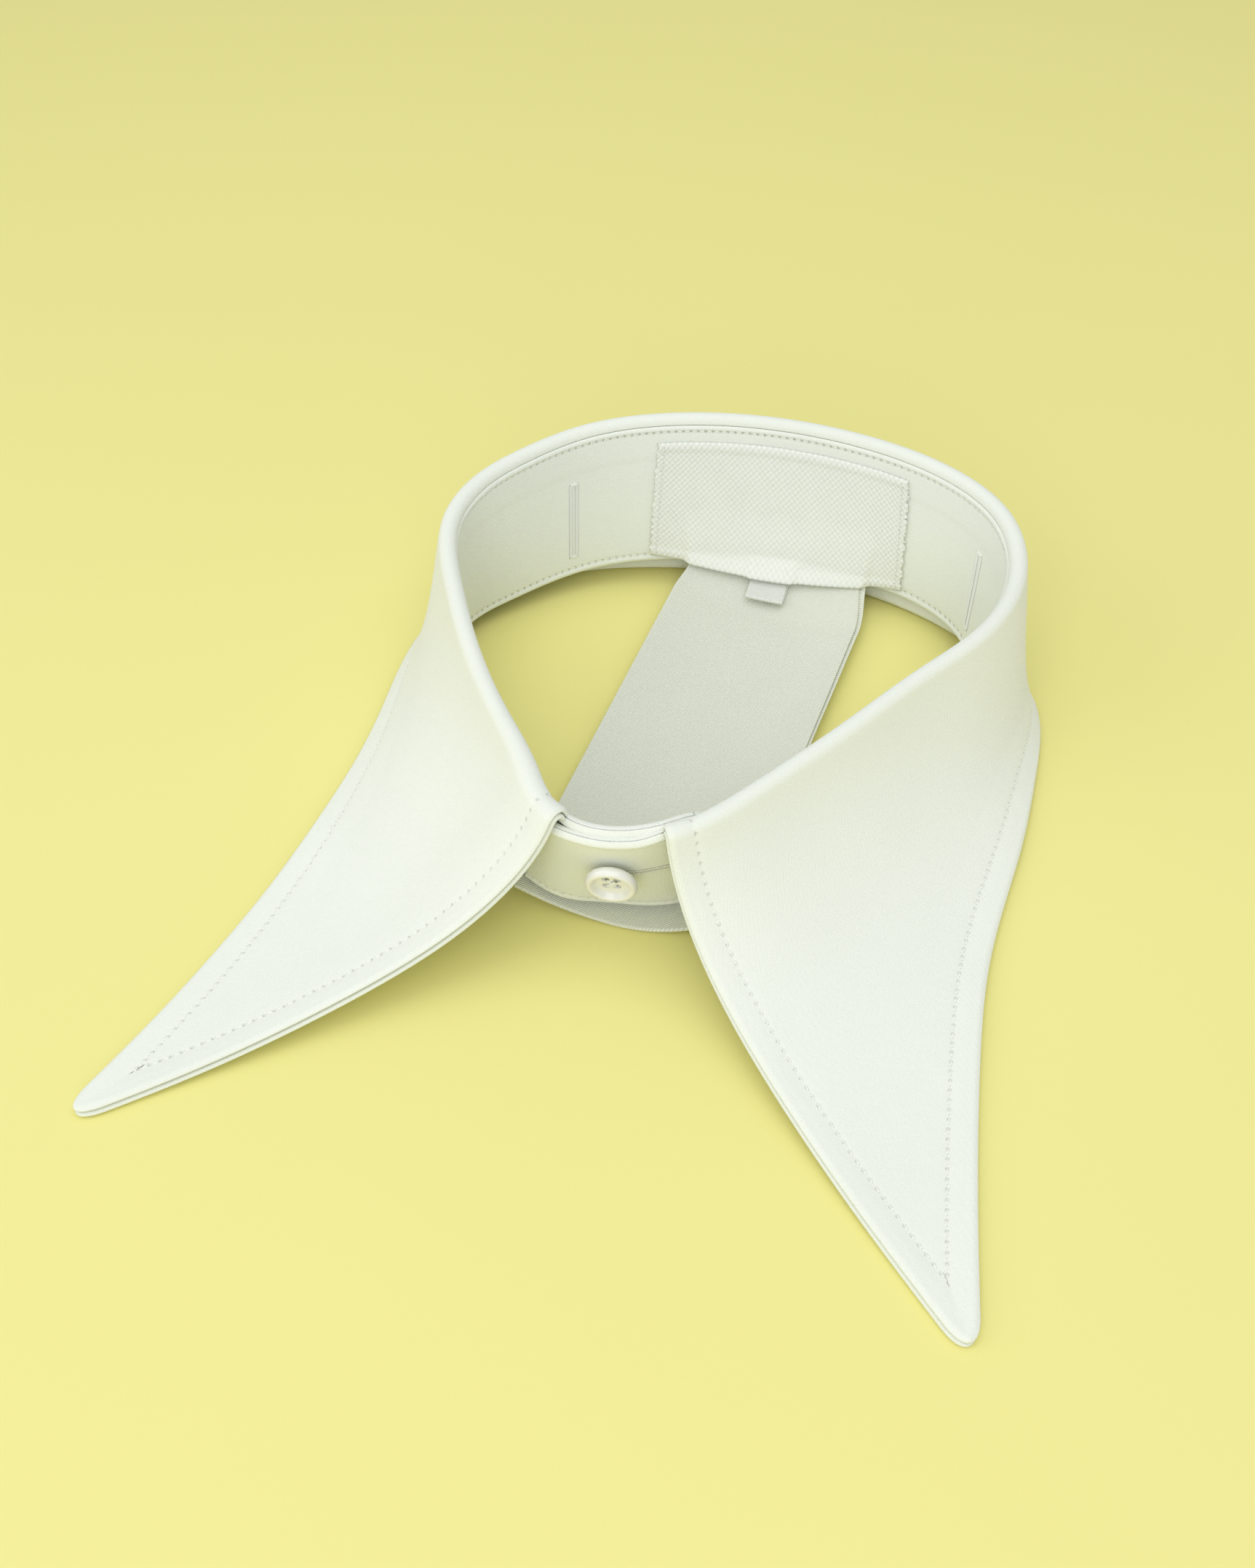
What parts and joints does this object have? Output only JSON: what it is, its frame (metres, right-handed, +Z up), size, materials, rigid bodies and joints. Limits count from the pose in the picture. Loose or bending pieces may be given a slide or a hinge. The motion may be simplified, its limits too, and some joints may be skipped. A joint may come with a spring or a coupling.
{
  "type": "detachable shirt collar",
  "caption": "Detachable cotton shirt collar with long pointed leaves, buttoned closed and standing on a surface, with a woven label and a long care label inside.",
  "frame": {"origin": "centre of the bounding box's base, on the surface that the collar stands on", "axes": "+Z up out of the neck opening; -Y is the buttoned front, where the two points lie; +X is to the right of someone who looks at that front"},
  "size_m": [0.1842, 0.2204, 0.0441],
  "materials": {
    "cotton": "matt plain-weave cotton",
    "shell": "polished, faintly pearly",
    "woven_tape": "matt ribbed tape",
    "satin_tape": "smooth satin"
  },
  "bodies": {
    "root": {"top_collar": "cotton", "under_collar": "cotton", "outer_stand": "cotton", "inner_stand": "cotton", "button": "shell", "woven_label": "woven_tape", "care_label": "satin_tape", "size_tab": "satin_tape"}
  },
  "joints": []
}
